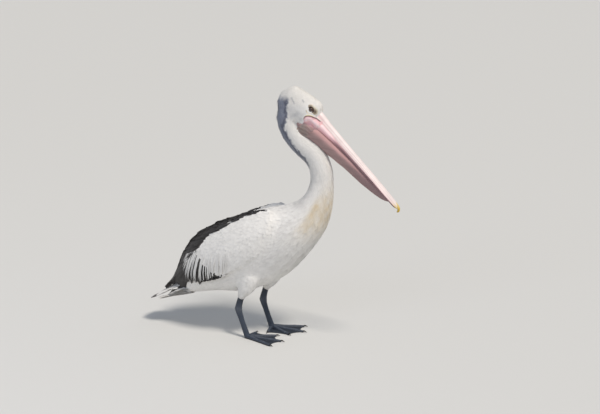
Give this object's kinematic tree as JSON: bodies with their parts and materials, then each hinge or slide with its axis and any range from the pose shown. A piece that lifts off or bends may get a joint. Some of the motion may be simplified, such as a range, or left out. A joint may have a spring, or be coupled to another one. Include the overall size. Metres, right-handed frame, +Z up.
{
  "type": "pelican",
  "caption": "Standing Australian pelican as a still, life-size animal model with long bill, S-shaped neck, folded wings and webbed feet.",
  "frame": {"origin": "on the floor, under the middle of the bird's length and on its midline", "axes": "+X the way the bird faces, +Y its left side, +Z up"},
  "size_m": [1.0616, 0.2876, 1.0091],
  "materials": {
    "white_plumage": "soft overlapping white feathers, washed cream on the lower foreneck and grey on the nape",
    "black_plumage": "black-brown flight and tail feathers with a faint sheen",
    "bill_horn": "pale pink satin horn, greyish along the cutting edges",
    "nail_horn": "yellow-orange satin horn",
    "pouch_skin": "thin bare brownish-pink skin with fine folds",
    "eye_gloss": "wet gloss, dark brown iris round a black pupil",
    "leg_skin": "dark blue-grey scaled skin",
    "claw_horn": "dark grey-brown horn"
  },
  "bodies": {
    "root": {"trunk": "white_plumage", "neck_lower": "white_plumage", "neck_middle": "white_plumage", "neck_upper": "white_plumage", "head": "white_plumage", "eye_right": "eye_gloss", "eye_left": "eye_gloss", "bill_upper": "bill_horn", "bill_nail": "nail_horn", "bill_lower": "bill_horn", "pouch": "pouch_skin", "wing_right": "white_plumage", "wing_left": "white_plumage", "flight_feathers_right": "black_plumage", "flight_feathers_left": "black_plumage", "tail": "black_plumage", "thigh_right": "white_plumage", "thigh_left": "white_plumage", "shank_right": "leg_skin", "shank_left": "leg_skin", "foot_right": "leg_skin", "foot_left": "leg_skin", "claw_right_1": "claw_horn", "claw_right_2": "claw_horn", "claw_right_3": "claw_horn", "claw_right_4": "claw_horn", "claw_left_1": "claw_horn", "claw_left_2": "claw_horn", "claw_left_3": "claw_horn", "claw_left_4": "claw_horn"}
  },
  "joints": []
}
